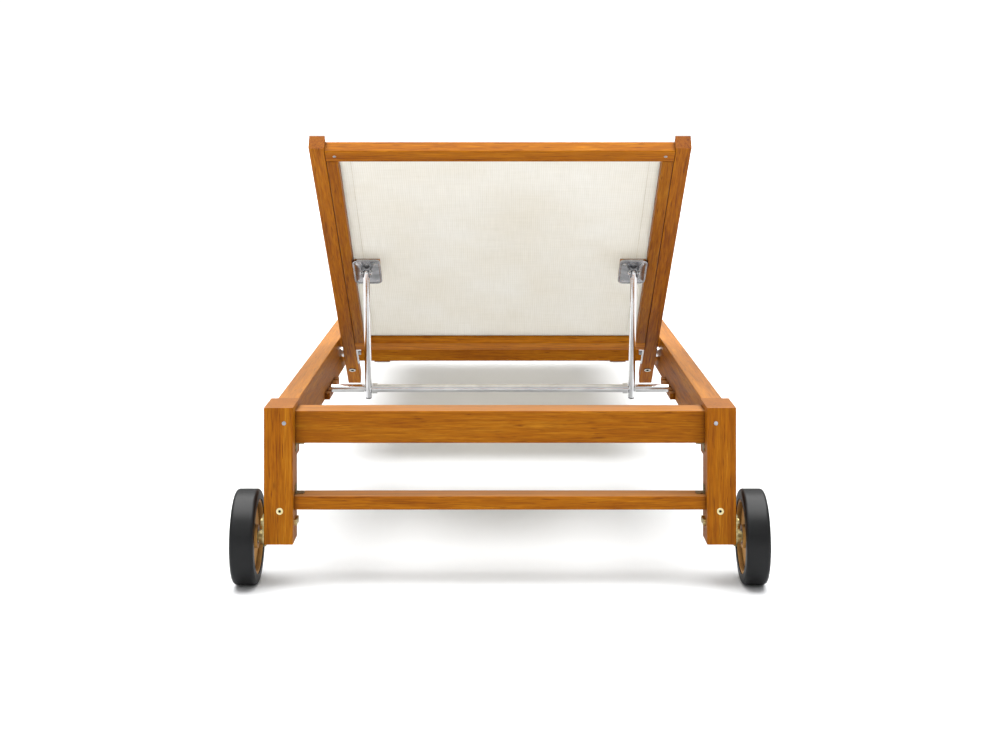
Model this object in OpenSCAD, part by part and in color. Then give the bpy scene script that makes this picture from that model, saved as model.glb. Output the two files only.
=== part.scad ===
// Reclining sun lounger: a slatless hardwood frame on two wheels, with a sling seat
// and a sling backrest that a folding steel prop holds up on two notched racks.
// Millimetres. +X is across the lounger, +Y runs from the head to the foot, +Z is up.
// The origin is on the ground, under the middle of the whole length.

/* [Frame] */
// Width over the head posts
frame_w = 650; // [600:5:780]
// Length from the face of the head posts to the end of the foot legs
frame_len = 2060; // [1900:10:2480]
// Height of the side rails' top above the ground
deck_h = 249; // [240:1:320]
// Width of a post or leg across the lounger
post_w = 40; // [34:1:50]
// Depth of a post or leg along the lounger
post_d = 50; // [45:1:70]
// Depth of the wide head of a head post, which takes the side rail
post_head_d = 77; // [70:1:110]
// Height of that wide head
post_head_h = 74; // [70:1:110]
// Clear height under the head posts
post_lift = 61; // [50:1:68]
// Thickness of a side rail
rail_t = 30; // [22:1:34]
// Height of a side rail
rail_h = 66; // [60:1:90]
// How far a side rail's outer face is set in from the post's outer face
rail_inset = 9; // [2:1:12]

/* [Cross rails] */
// Setback of the head rail from the face of the posts
head_rail_set = 28; // [10:1:30]
// Thickness of the head rail along the lounger
head_rail_t = 46; // [30:1:48]
// Height of the head rail
head_rail_h = 45; // [35:1:60]
// Drop of the head rail's top below the side rails, so that the backrest can lie on it
head_rail_drop = 9; // [8:1:14]
// Setback of the low stretcher from the face of the posts
stretcher_set = 12; // [6:1:12]
// Thickness of the stretcher along the lounger
stretcher_t = 36; // [20:1:38]
// Height of the stretcher
stretcher_h = 19; // [14:1:30]
// Height of the stretcher's underside above the ground
stretcher_z = 106; // [95:1:125]
// Distance of the seat's head rail from the face of the posts
seat_rail_y = 805; // [802:1:830]
// Thickness of the seat's cross rails
seat_rail_t = 22; // [18:1:30]
// Height of the seat's cross rails
seat_rail_h = 60; // [50:1:64]

/* [Backrest] */
// Angle of the backrest above the horizontal, as it stands
back_angle = 35; // [30:0.5:36]
// Distance of the backrest's pivot from the face of the posts
pivot_y = 693; // [685:1:700]
// Height of the pivot above the underside of the side rails
pivot_up = 40; // [36:1:44]
// Side gap between a side rail and a backrest stile, filled by a spacer
stile_gap = 7; // [4:0.5:10]
// Width of a backrest stile
stile_w = 23; // [20:1:30]
// Thickness of a backrest stile
stile_t = 22; // [20:1:26]
// Length of a stile above the pivot
stile_up = 677; // [640:1:680]
// Length of a stile below the pivot
stile_tail = 105; // [40:1:106]
// Width of the battens that hold a sling's side edges
batten_w = 17; // [12:1:24]
// Thickness of the battens and of the backrest's cross rails
batten_t = 17.5; // [14:0.5:19]
// Width of the backrest's cross rails, along the backrest
back_rail_w = 28; // [20:1:40]
// Distance of the top rail's edge from the stiles' ends
top_rail_in = 8; // [2:1:20]
// Distance of the bottom rail's lower edge above the pivot
bottom_rail_up = 28; // [24:1:40]
// Depth of the sling behind the battens' rear face
sling_in = 14; // [13:0.5:14.5]
// Thickness of the sling cloth
sling_t = 1.2; // [1:0.1:2]

/* [Prop] */
// Distance of the two struts from the middle
strut_x = 217; // [200:1:222]
// Diameter of a strut
strut_d = 11; // [9:0.5:14]
// Diameter of the cross bar
bar_d = 13; // [11:0.5:16]
// Distance of the strut's pin above the backrest's pivot, along the backrest
pin_up = 329; // [310:1:340]
// Distance of the strut's pin behind the backrest's rear face
pin_back = 12; // [11:0.5:16]
// Diameter of the strut's pin
pin_d = 5; // [4:0.5:6]
// Distance of the cross bar from the face of the posts
bar_y = 457; // [440:1:470]
// Height of the cross bar's axis above the underside of the side rails
bar_up = 15; // [13:0.5:18]
// Length of the strut past the cross bar
strut_past = 15; // [13:1:26]
// Number of notches in a rack
notch_count = 4; // [2:1:5]
// Distance from one notch to the next
notch_pitch = 35; // [28:1:40]
// Width of a rack's ledge
rack_w = 8; // [6:0.5:9]
// Depth of a notch
notch_deep = 3; // [2:0.5:4]

/* [Wheels] */
// Wheel diameter
wheel_d = 130; // [124:1:140]
// Wheel width
wheel_w = 33; // [26:1:40]
// Height of the tyre's rubber over the disc
tyre_h = 14; // [8:1:18]
// Distance of the axle behind the face of the posts
axle_y = 30; // [22:1:32]
// Diameter of the stub axle
axle_d = 12; // [10:1:14]
// Gap between a post and its wheel
wheel_gap = 10; // [8:1:16]
// Wall of the wheel's brass bush
bush_wall = 2; // [1.5:0.5:3]

/* [Hardware] */
// Thickness of the steel plates
plate_t = 3; // [2:0.5:4]
// Diameter of the frame's socket bolts
bolt_d = 6; // [5:1:8]
// Diameter of a socket bolt's head
bolt_head_d = 9.5; // [9:0.5:13]
// Diameter of the pivot bolts
pivot_d = 8; // [6:1:10]
// Diameter of the small wood screws
screw_d = 3; // [2.5:0.5:4]

/* [Hidden] */
$fn = 64;

wood = "#b4701f";
wood_dark = "#9c5d18";
cloth = "#e6e2d3";
steel = "#c4c8cc";
brass = "#d8c68a";
rubber = "#2b2c2e";

run_gap = 0.05; // radial clearance of a turning fit
hole_gap = 0.04; // radial clearance round a fixed screw or bolt
fit_gap = 0.3; // clearance between neighbours that only lie side by side
edge_r = 1.6; // rounding of the timber's long edges

wheel_r = wheel_d / 2;
wheel_over = wheel_r - axle_y; // how far a wheel reaches past the posts
face_y = (wheel_over - frame_len) / 2; // face of the head posts
foot_y = face_y + frame_len; // end of the foot legs
post_x = frame_w / 2 - post_w / 2; // middle of a post
rail_out = frame_w / 2 - rail_inset; // outer face of a side rail
rail_in = rail_out - rail_t; // inner face of a side rail
rail_z = deck_h - rail_h; // underside of a side rail
rail_y0 = face_y + post_head_d;
rail_y1 = foot_y - post_d;
inner_post = frame_w / 2 - post_w; // inner face of a post

pivot = [0, face_y + pivot_y, rail_z + pivot_up];
stile_out = rail_in - stile_gap; // outer face of a stile
stile_in = stile_out - stile_w;
batten_out = stile_in - fit_gap;
batten_in = batten_out - batten_w;
rear = -stile_t / 2; // rear face of the backrest, from its mid-plane
sling_rear = rear + sling_in; // rear face of the back sling
top_rail_s = stile_up - top_rail_in; // upper edge of the top rail, along the backrest
bottom_rail_s = bottom_rail_up + back_rail_w; // upper edge of the bottom rail
bracket_w = 44;
bracket_l = 74;
bracket_s = pin_up - 14; // middle of a bracket, along the backrest
bracket_x = batten_in - fit_gap - bracket_w / 2;
block_t = sling_in - 2; // thickness of the wood block behind a bracket
block_in = 4; // setback of the block's upper end from the bracket's edge
block_bevel = block_t * 1.2; // how far the block's upper end slopes back
screw_grip = 4; // depth of a bracket screw in its block
ear_t = 2.5;
ear_gap = strut_d + 2 * fit_gap;

bar_z = rail_z + bar_up;
bar = [0, face_y + bar_y, bar_z];
rack_top = bar_z - bar_d / 2 + notch_deep;
rack_in = rail_in - rack_w;
bar_half = rack_in - fit_gap;
pin_local = [-pin_up, rear - pin_back]; // along the backrest, and off its mid-plane
pin_point = [
  pivot[1] + pin_local[0] * cos(back_angle) + pin_local[1] * sin(back_angle),
  pivot[2] - pin_local[0] * sin(back_angle) + pin_local[1] * cos(back_angle)
];
strut_len = norm([bar[1] - pin_point[0], bar[2] - pin_point[1]]);
strut_lean = atan2(bar[1] - pin_point[0], pin_point[1] - bar[2]);

bar_core = 7; // the bar's necked part, where it passes through a strut
tail_bolt_y = 50; // the stile's rear bolt, below the pivot
tail_head_d = 12;

axle_r = axle_d / 2;
bush_r = axle_r + run_gap + bush_wall;
disc_r = wheel_r - tyre_h;
disc_w = wheel_w - 3;
wheel_x = frame_w / 2 + wheel_gap + wheel_w / 2;
axle_point = [face_y + axle_y, wheel_r];
axle_plate_t = 4;
axle_plate_w = 30;
axle_plate_low = 13; // from the axle down to the plate's rounded end
axle_plate_high = 32; // from the axle up to the plate's top
axle_bolt_up = 22; // height of the plate's two bolts above the axle
axle_bolt_apart = 16; // distance between those bolts, along the lounger
cap_t = 6;
cap_r = axle_r + 6;
axle_end = wheel_x + wheel_w / 2 + 4;

bolt_x = post_x - 2;
bolt_z = stretcher_z + 1;
screw_x = post_x - 8;
screw_z = deck_h - 21;

// A length of timber from corner a to corner b, with its long edges rounded.
// way is the axis that the grain and the long edges follow.
module timber(a, b, way) {
  size = b - a;
  mid = (a + b) / 2;
  turn = way == "x" ? [90, 0, 90] : way == "y" ? [90, 0, 0] : [0, 0, 0];
  across = way == "x" ? [size[1], size[2]] : way == "y" ? [size[0], size[2]] : [size[0], size[1]];
  long = way == "x" ? size[0] : way == "y" ? size[1] : size[2];
  translate(mid) rotate(turn) linear_extrude(height = long, center = true) rounded(across);
}

// A rectangle with small round corners.
module rounded(size, r = edge_r) {
  square([size[0] - 2 * r, size[1]], center = true);
  square([size[0], size[1] - 2 * r], center = true);
  for (x = [-1, 1], y = [-1, 1])
    translate([x * (size[0] / 2 - r), y * (size[1] / 2 - r)]) circle(r = r, $fn = 24);
}

// Both sides' copies of what is drawn for the +X side.
module both() {
  children();
  mirror([1, 0, 0]) children();
}

// A solid round bar along +X from x0 to x1.
module bar_x(x0, x1, r) {
  translate([x0, 0, 0]) rotate([0, 90, 0]) cylinder(h = x1 - x0, r = r);
}

// Places what is drawn for a flat backrest, with its pivot at the origin, at its standing angle.
module on_back() {
  translate(pivot) rotate([-back_angle, 0, 0]) children();
}

// The socket of a hexagon key.
module hex_socket(deep, across) {
  cylinder(h = deep, d = across / cos(30), $fn = 6);
}

/* Frame, drawn for the +X side */

module post_side() {
  difference() {
    union() {
      timber([inner_post, face_y, post_lift], [frame_w / 2, face_y + post_d, deck_h], "z");
      timber([inner_post, face_y + post_d - 2 * edge_r, deck_h - post_head_h],
        [frame_w / 2, face_y + post_head_d, deck_h], "z");
    }
    translate([bolt_x, face_y, bolt_z]) rotate([-90, 0, 0]) {
      translate([0, 0, -1]) cylinder(h = 4 + hole_gap, d = bolt_head_d + 2 * hole_gap);
      cylinder(h = post_d - 8, d = bolt_d + 2 * hole_gap);
    }
    translate([screw_x, face_y - 1, screw_z]) rotate([-90, 0, 0])
      cylinder(h = 26, d = screw_d + 2 * hole_gap);
    at_axle() at_plate_bolts() bar_x(inner_post - 1, frame_w / 2 + 1, bolt_d / 2 + hole_gap);
  }
}

module leg_side() {
  timber([inner_post, foot_y - post_d, 0], [frame_w / 2, foot_y, deck_h], "z");
}

module rail_side() {
  difference() {
    timber([rail_in, rail_y0, rail_z], [rail_out, rail_y1, deck_h], "y");
    translate([0, pivot[1], pivot[2]]) {
      bar_x(rail_in - 1, rail_out + 1, pivot_d / 2 + hole_gap);
      bar_x(rail_out - 5, rail_out + 1, pivot_d / 2 + 4);
    }
  }
}

module cross_rail(y0, thick, z0, high, half) {
  timber([-half, y0, z0], [half, y0 + thick, z0 + high], "x");
}

module rack_side() {
  y0 = bar[1] - notch_pitch * 0.8;
  long = notch_pitch * (notch_count + 0.6);
  difference() {
    translate([rack_in, y0, rail_z + 1]) cube([rack_w, long, rack_top - rail_z - 1]);
    for (i = [0 : notch_count - 1]) translate([0, bar[1] + i * notch_pitch, bar_z])
      bar_x(rack_in - 1, rail_in + 1, bar_d / 2 + fit_gap);
  }
}

module batten_side() {
  timber([rail_in - batten_w, face_y + seat_rail_y + seat_rail_t, deck_h - batten_t],
    [rail_in, rail_y1, deck_h], "y");
}

// A small steel angle in the corner between a post and a cross rail.
module angle_piece(at, up) {
  arm = 12;
  wide = 14;
  translate([inner_post, at[0], at[1]]) mirror([1, 0, 0]) {
    translate([0, -wide / 2, up > 0 ? 0 : -arm]) cube([plate_t / 2, wide, arm]);
    translate([0, -wide / 2, up > 0 ? 0 : -plate_t / 2]) cube([arm, wide, plate_t / 2]);
  }
}

module corner_angles_side() {
  angle_piece([face_y + head_rail_set + 8, deck_h - head_rail_drop - head_rail_h], -1);
  angle_piece([face_y + stretcher_set + 20, stretcher_z + stretcher_h], 1);
}

module post_bolt_side() {
  translate([bolt_x, face_y, bolt_z]) rotate([-90, 0, 0]) difference() {
    union() {
      translate([0, 0, -0.4]) cylinder(h = 3.4, d = bolt_head_d);
      cylinder(h = post_d - 9, d = bolt_d);
    }
    translate([0, 0, -1]) hex_socket(3, bolt_d * 0.62);
  }
}

module frame_screw_side() {
  translate([screw_x, face_y, screw_z]) rotate([-90, 0, 0]) {
    translate([0, 0, -0.5]) cylinder(h = 0.5, d = screw_d + 2.6);
    cylinder(h = 24, d = screw_d);
  }
}

module pivot_bolt_side() {
  translate([0, pivot[1], pivot[2]]) {
    bar_x(stile_in - plate_t - 2, rail_out - 1, pivot_d / 2);
    bar_x(rail_out - 4.5, rail_out - 0.5, pivot_d / 2 + 3.5);
    bar_x(stile_in - plate_t - fit_gap - 3.5, stile_in - plate_t - fit_gap, pivot_d / 2 + 1.6);
  }
}

module ring_x(x0, x1, r_out, r_in) {
  difference() {
    bar_x(x0, x1, r_out);
    bar_x(x0 - 1, x1 + 1, r_in);
  }
}

module pivot_spacer_side() {
  translate([0, pivot[1], pivot[2]])
    ring_x(stile_out + fit_gap, rail_in, pivot_d / 2 + 5, pivot_d / 2 + run_gap);
}

/* Wheels, drawn for the +X side about the axle's line */

module at_axle() {
  translate([0, axle_point[0], axle_point[1]]) children();
}

// The two bolt places of an axle's plate, about the axle's line.
module at_plate_bolts() {
  for (side = [-1, 1]) translate([0, side * axle_bolt_apart / 2, axle_bolt_up]) children();
}

module axle_side() {
  x0 = frame_w / 2;
  at_axle() {
    difference() {
      union() {
        bar_x(x0, x0 + axle_plate_t, axle_plate_w / 2 - 1);
        translate([x0, -axle_plate_w / 2 + 1, 0]) cube([axle_plate_t, axle_plate_w - 2, axle_plate_high]);
      }
      translate([x0 - 1, -axle_plate_w, -axle_plate_w]) cube([axle_plate_t + 2, 2 * axle_plate_w,
        axle_plate_w - axle_plate_low]);
      at_plate_bolts() bar_x(x0 - 1, x0 + axle_plate_t + 1, bolt_d / 2 + hole_gap);
    }
    bar_x(x0 + axle_plate_t / 2, axle_end, axle_r);
  }
}

module axle_bolt_side() {
  x0 = frame_w / 2;
  at_axle() at_plate_bolts() {
    bar_x(inner_post - 2.5, x0 + axle_plate_t + 2, bolt_d / 2);
    bar_x(x0 + axle_plate_t, x0 + axle_plate_t + 2.5, bolt_d / 2 + 2.2);
    bar_x(inner_post - 3.5, inner_post, bolt_d / 2 + 2.2);
  }
}

module axle_spacer_side() {
  x0 = frame_w / 2 + axle_plate_t;
  at_axle() ring_x(x0, frame_w / 2 + wheel_gap - fit_gap, axle_r + 4, axle_r + hole_gap);
}

module wheel_cap_side() {
  x0 = wheel_x + wheel_w / 2 - (wheel_w - disc_w) / 2 + fit_gap;
  at_axle() difference() {
    union() {
      bar_x(x0, x0 + cap_t - 2, cap_r);
      bar_x(x0, x0 + cap_t, cap_r - 2);
    }
    bar_x(x0 - 1, axle_end + hole_gap, axle_r + hole_gap);
  }
}

// Turns an outline of (radius, distance along the axle) about the wheel's axle.
module turned_x() {
  rotate([0, 90, 0]) rotate_extrude($fn = 128) children();
}

module tyre_side() {
  shoulder = 5;
  at_axle() translate([wheel_x, 0, 0]) turned_x() difference() {
    translate([disc_r + hole_gap, -wheel_w / 2]) union() {
      square([tyre_h - hole_gap - shoulder, wheel_w]);
      translate([0, shoulder]) square([tyre_h - hole_gap, wheel_w - 2 * shoulder]);
      for (side = [shoulder, wheel_w - shoulder])
        translate([tyre_h - hole_gap - shoulder, side]) circle(r = shoulder, $fn = 32);
    }
    translate([0, -wheel_w]) square([disc_r, 2 * wheel_w]);
  }
}

module disc_side() {
  lip = 4;
  recess = 6;
  boss_r = bush_r + 8;
  at_axle() translate([wheel_x, 0, 0]) turned_x() difference() {
    translate([bush_r + hole_gap, -disc_w / 2]) square([disc_r - bush_r - hole_gap, disc_w]);
    for (side = [-1, 1]) translate([boss_r, side * disc_w / 2 - recess])
      square([disc_r - lip - boss_r, 2 * recess]);
  }
}

module bush_side() {
  at_axle() ring_x(wheel_x - disc_w / 2, wheel_x + disc_w / 2, bush_r, axle_r + run_gap);
}

/* Backrest, drawn flat with its pivot at the origin: -Y is up the backrest, +Z is its lying side */

module stile_flat() {
  difference() {
    timber([stile_in, -stile_up, rear], [stile_out, stile_tail, -rear], "y");
    bar_x(stile_in - 1, stile_out + 1, pivot_d / 2 + run_gap);
    translate([stile_in + stile_w / 2, tail_bolt_y, rear]) {
      translate([0, 0, -1]) cylinder(h = 4 + hole_gap, d = tail_head_d + 2 * hole_gap);
      cylinder(h = stile_t - 4, d = bolt_d + 2 * hole_gap);
    }
  }
}

module tail_bolt_flat() {
  translate([stile_in + stile_w / 2, tail_bolt_y, rear]) difference() {
    union() {
      translate([0, 0, -1.5]) cylinder(h = 4.5, d = tail_head_d);
      cylinder(h = stile_t - 5, d = bolt_d);
    }
    translate([0, 0, -2]) hex_socket(4, bolt_d);
  }
}

module back_rail_flat(s_top) {
  timber([-stile_in + fit_gap, -s_top, rear], [stile_in - fit_gap, back_rail_w - s_top, rear + batten_t], "x");
}

module back_batten_flat() {
  timber([batten_in, back_rail_w - top_rail_s + fit_gap, rear],
    [batten_out, -bottom_rail_s - fit_gap, rear + batten_t], "y");
}

module back_sling_flat() {
  half = batten_in - fit_gap;
  y0 = back_rail_w - top_rail_s + fit_gap;
  y1 = -bottom_rail_s - fit_gap;
  translate([-half, y0, sling_rear]) cube([2 * half, y1 - y0, sling_t]);
}

module hinge_plate_flat() {
  wide = 18;
  low = 30;
  high = bottom_rail_up - 2;
  translate([stile_in - plate_t, -high, -wide / 2]) difference() {
    cube([plate_t, high + low, wide]);
    translate([0, high, wide / 2]) bar_x(-1, plate_t + 1, pivot_d / 2 + run_gap);
  }
}

// The four screw places of a prop bracket, about its middle.
bracket_holes = [for (x = [-1, 1], y = [-1, 1]) [x * (bracket_w / 2 - 8), y * (bracket_l / 2 - 10.5)]];

module block_flat() {
  translate([bracket_x, -bracket_s, rear]) difference() {
    rotate([90, 0, 90]) linear_extrude(height = bracket_w - 2, center = true)
      polygon([[-bracket_l / 2 + block_in, 0], [bracket_l / 2 - 1, 0],
        [bracket_l / 2 - 1, block_t], [-bracket_l / 2 + block_in + block_bevel, block_t]]);
    for (p = bracket_holes) translate([p[0], p[1], -1]) cylinder(h = screw_grip + 1.3, d = screw_d + 2 * hole_gap);
  }
}

module bracket_flat() {
  r = 8;
  difference() {
    translate([bracket_x, -bracket_s, rear - plate_t]) linear_extrude(height = plate_t)
      rounded([bracket_w, bracket_l], r);
    translate([bracket_x, -bracket_s, rear]) for (p = bracket_holes)
      translate([p[0], p[1], -plate_t - 1]) cylinder(h = plate_t + 2, d = screw_d + 2 * hole_gap);
  }
  ear_r = strut_d / 2 + 2.5;
  for (side = [-1, 1]) translate([strut_x + side * (ear_gap + ear_t) / 2 - ear_t / 2, -pin_up, rear - pin_back])
    difference() {
      union() {
        bar_x(0, ear_t, ear_r);
        translate([0, -ear_r, 0]) cube([ear_t, 2 * ear_r, pin_back - plate_t / 2]);
      }
      bar_x(-1, ear_t + 1, pin_d / 2 + hole_gap);
    }
}

module pin_flat() {
  reach = ear_gap / 2 + ear_t;
  translate([0, -pin_up, rear - pin_back]) {
    bar_x(strut_x - reach - 1, strut_x + reach + 1, pin_d / 2);
    for (side = [-1, 1]) bar_x(strut_x + side * (reach + 0.9) - 0.9, strut_x + side * (reach + 0.9) + 0.9,
      pin_d / 2 + 1.2);
  }
}

module screw_flat(x, y, z) {
  translate([x, y, z]) {
    translate([0, 0, -1.1]) cylinder(h = 1.1, d = screw_d + 4);
    cylinder(h = screw_grip + plate_t, d = screw_d);
  }
}

module back_screws_flat() {
  for (p = bracket_holes) screw_flat(bracket_x + p[0], p[1] - bracket_s, rear - plate_t);
}

/* Prop, drawn hanging straight down from its pin at the origin */

module on_prop() {
  translate([0, pin_point[0], pin_point[1]]) rotate([strut_lean, 0, 0]) children();
}

module strut_hanging() {
  difference() {
    union() {
      translate([strut_x, 0, -strut_len - strut_past]) cylinder(h = strut_len + strut_past, d = strut_d);
      translate([strut_x, 0, 0]) sphere(d = strut_d);
    }
    bar_x(strut_x - strut_d, strut_x + strut_d, pin_d / 2 + run_gap);
    translate([0, 0, -strut_len]) bar_x(strut_x - strut_d, strut_x + strut_d, bar_core / 2 + hole_gap);
  }
}

module bar_hanging() {
  neck = strut_d / 2 + 1;
  translate([0, 0, -strut_len]) {
    bar_x(-strut_x + neck, strut_x - neck, bar_d / 2);
    for (side = [-1, 1]) translate([side > 0 ? strut_x + neck : -bar_half, 0, 0])
      bar_x(0, bar_half - strut_x - neck, bar_d / 2);
    bar_x(-strut_x - neck - 1, strut_x + neck + 1, bar_core / 2);
  }
}

module collar_hanging() {
  neck = strut_d / 2 + 1;
  translate([0, 0, -strut_len])
    ring_x(strut_x - neck - 8, strut_x - neck, bar_d / 2 + 2, bar_d / 2 + hole_gap);
}

module cap_hanging() {
  translate([strut_x, 0, -strut_len - strut_past - 2]) cylinder(h = 2, d = strut_d - 1);
}

/* One module for each node */

module head_post_left() color(wood) mirror([1, 0, 0]) post_side();
module head_post_right() color(wood) post_side();
module foot_leg_left() color(wood) mirror([1, 0, 0]) leg_side();
module foot_leg_right() color(wood) leg_side();
module side_rail_left() color(wood) mirror([1, 0, 0]) rail_side();
module side_rail_right() color(wood) rail_side();
module head_rail() color(wood) cross_rail(face_y + head_rail_set, head_rail_t,
  deck_h - head_rail_drop - head_rail_h, head_rail_h, inner_post);
module head_stretcher() color(wood) cross_rail(face_y + stretcher_set, stretcher_t,
  stretcher_z, stretcher_h, inner_post);
module seat_head_rail() color(wood_dark) cross_rail(face_y + seat_rail_y, seat_rail_t,
  deck_h - seat_rail_h, seat_rail_h, rail_in);
module seat_middle_rail() color(wood_dark) cross_rail((face_y + seat_rail_y + foot_y) / 2, seat_rail_t,
  rail_z, rail_h - batten_t - 10, rail_in);
module foot_rail() color(wood_dark) cross_rail(rail_y1, seat_rail_t,
  deck_h - seat_rail_h, seat_rail_h, inner_post);
module seat_batten_left() color(wood_dark) mirror([1, 0, 0]) batten_side();
module seat_batten_right() color(wood_dark) batten_side();
module seat_sling() color(cloth) {
  half = rail_in - batten_w - fit_gap;
  y0 = face_y + seat_rail_y + seat_rail_t + fit_gap;
  y1 = rail_y1 - fit_gap;
  translate([-half, y0, deck_h - batten_t + sling_in]) cube([2 * half, y1 - y0, sling_t]);
}
module rack_left() color(wood) mirror([1, 0, 0]) rack_side();
module rack_right() color(wood) rack_side();
module corner_brackets() color(brass) both() corner_angles_side();
module post_bolts() color(brass) both() post_bolt_side();
module frame_screws() color(steel) both() frame_screw_side();
module pivot_bolt_left() color(steel) mirror([1, 0, 0]) pivot_bolt_side();
module pivot_bolt_right() color(steel) pivot_bolt_side();
module pivot_spacers() color(steel) both() pivot_spacer_side();
module axle_left() color(brass) mirror([1, 0, 0]) axle_side();
module axle_right() color(brass) axle_side();
module axle_bolts() color(brass) both() axle_bolt_side();
module wheel_caps() color(steel) both() wheel_cap_side();
module axle_spacers() color(brass) both() axle_spacer_side();
module tyre_left() color(rubber) mirror([1, 0, 0]) tyre_side();
module tyre_right() color(rubber) tyre_side();
module wheel_disc_left() color(wood) mirror([1, 0, 0]) disc_side();
module wheel_disc_right() color(wood) disc_side();
module wheel_bush_left() color(brass) mirror([1, 0, 0]) bush_side();
module wheel_bush_right() color(brass) bush_side();
module stile_left() color(wood) on_back() mirror([1, 0, 0]) stile_flat();
module stile_right() color(wood) on_back() stile_flat();
module back_top_rail() color(wood) on_back() back_rail_flat(top_rail_s);
module back_bottom_rail() color(wood) on_back() back_rail_flat(bottom_rail_s);
module back_batten_left() color(wood_dark) on_back() mirror([1, 0, 0]) back_batten_flat();
module back_batten_right() color(wood_dark) on_back() back_batten_flat();
module back_sling() color(cloth) on_back() back_sling_flat();
module hinge_plate_left() color(steel) on_back() mirror([1, 0, 0]) hinge_plate_flat();
module hinge_plate_right() color(steel) on_back() hinge_plate_flat();
module tail_bolts() color(steel) on_back() both() tail_bolt_flat();
module back_screws() color(steel) on_back() both() back_screws_flat();
module bracket_block_left() color(wood_dark) on_back() mirror([1, 0, 0]) block_flat();
module bracket_block_right() color(wood_dark) on_back() block_flat();
module prop_bracket_left() color(steel) on_back() mirror([1, 0, 0]) bracket_flat();
module prop_bracket_right() color(steel) on_back() bracket_flat();
module prop_pins() color(steel) on_back() both() pin_flat();
module strut_left() color(steel) on_prop() mirror([1, 0, 0]) strut_hanging();
module strut_right() color(steel) on_prop() strut_hanging();
module cross_bar() color(steel) on_prop() bar_hanging();
module bar_collars() color(steel) on_prop() both() collar_hanging();
module strut_caps() color(rubber) on_prop() both() cap_hanging();

head_post_left();
head_post_right();
foot_leg_left();
foot_leg_right();
side_rail_left();
side_rail_right();
head_rail();
head_stretcher();
seat_head_rail();
seat_middle_rail();
foot_rail();
seat_batten_left();
seat_batten_right();
seat_sling();
rack_left();
rack_right();
corner_brackets();
post_bolts();
frame_screws();
pivot_bolt_left();
pivot_bolt_right();
pivot_spacers();
axle_left();
axle_right();
axle_bolts();
wheel_caps();
axle_spacers();
tyre_left();
tyre_right();
wheel_disc_left();
wheel_disc_right();
wheel_bush_left();
wheel_bush_right();
stile_left();
stile_right();
back_top_rail();
back_bottom_rail();
back_batten_left();
back_batten_right();
back_sling();
hinge_plate_left();
hinge_plate_right();
tail_bolts();
back_screws();
bracket_block_left();
bracket_block_right();
prop_bracket_left();
prop_bracket_right();
prop_pins();
strut_left();
strut_right();
cross_bar();
bar_collars();
strut_caps();
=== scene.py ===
# %% [markdown]
# # A reclining sun lounger
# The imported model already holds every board, bolt and wheel at its real size. This lesson gives
# each of them its real finish, weaves the two slings, and sets the camera, floor and light.

# %% Load the frame
import math

import bpy
from mathutils import Matrix, Vector


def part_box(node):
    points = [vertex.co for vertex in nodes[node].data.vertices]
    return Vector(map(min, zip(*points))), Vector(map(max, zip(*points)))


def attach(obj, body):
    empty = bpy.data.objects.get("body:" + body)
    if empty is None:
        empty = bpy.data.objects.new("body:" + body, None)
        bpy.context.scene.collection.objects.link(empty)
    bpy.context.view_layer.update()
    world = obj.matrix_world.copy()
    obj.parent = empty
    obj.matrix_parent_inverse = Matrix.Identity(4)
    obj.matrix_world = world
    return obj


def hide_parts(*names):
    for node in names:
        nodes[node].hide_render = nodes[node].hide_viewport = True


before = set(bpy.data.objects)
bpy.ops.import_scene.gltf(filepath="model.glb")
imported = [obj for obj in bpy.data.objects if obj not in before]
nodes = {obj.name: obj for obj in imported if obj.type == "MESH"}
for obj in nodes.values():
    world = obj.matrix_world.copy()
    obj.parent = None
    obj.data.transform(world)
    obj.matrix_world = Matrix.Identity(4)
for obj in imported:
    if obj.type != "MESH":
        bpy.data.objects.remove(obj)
scene = bpy.context.scene
scene.view_settings.view_transform = "Standard"
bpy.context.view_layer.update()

# %% [markdown]
# ## The camera
# The picture is taken from behind the head end, at a little under the height of a table, with the
# camera level, so that posts stay upright. A level camera puts the horizon at mid-frame, with the
# lounger below it. A downward shift brings the lounger back into view, as the lens of a studio
# camera does, and it is only as large as that needs.

# %% Camera
POST_FACE_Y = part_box("head_post_left")[0].y
CAMERA_BACK = 2.28      # metres from the lens to the face of the head posts
CAMERA_HEIGHT = 0.667
LENS_MM = 59.7
FRAMING_SHIFT = -0.271

camera = bpy.data.objects.new("camera", bpy.data.cameras.new("camera"))
camera.data.lens = LENS_MM
camera.data.sensor_width = 36.0
camera.data.shift_y = FRAMING_SHIFT
camera.location = (0.0, POST_FACE_Y - CAMERA_BACK, CAMERA_HEIGHT)
camera.rotation_euler = (math.radians(90), 0.0, 0.0)
scene.collection.objects.link(camera)
scene.camera = camera
print("camera", tuple(round(v, 3) for v in camera.location))

# %% [markdown]
# ## Helpers for finishes
# Every finish is a small tree of nodes. One function adds a node with its settings and links, and
# one turns the sRGB hex that a paint chart gives into the linear colour that a shader wants. Noise
# is asked for by the size of its grain in real millimetres, which is what a hand can measure.

# %% Colour and node helpers
def linear(hex_colour, alpha=1.0):
    """Linear RGBA of an sRGB hex colour."""
    parts = [int(hex_colour[i:i + 2], 16) / 255 for i in (1, 3, 5)]
    return [c / 12.92 if c <= 0.04045 else ((c + 0.055) / 1.055) ** 2.4 for c in parts] + [alpha]


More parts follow.
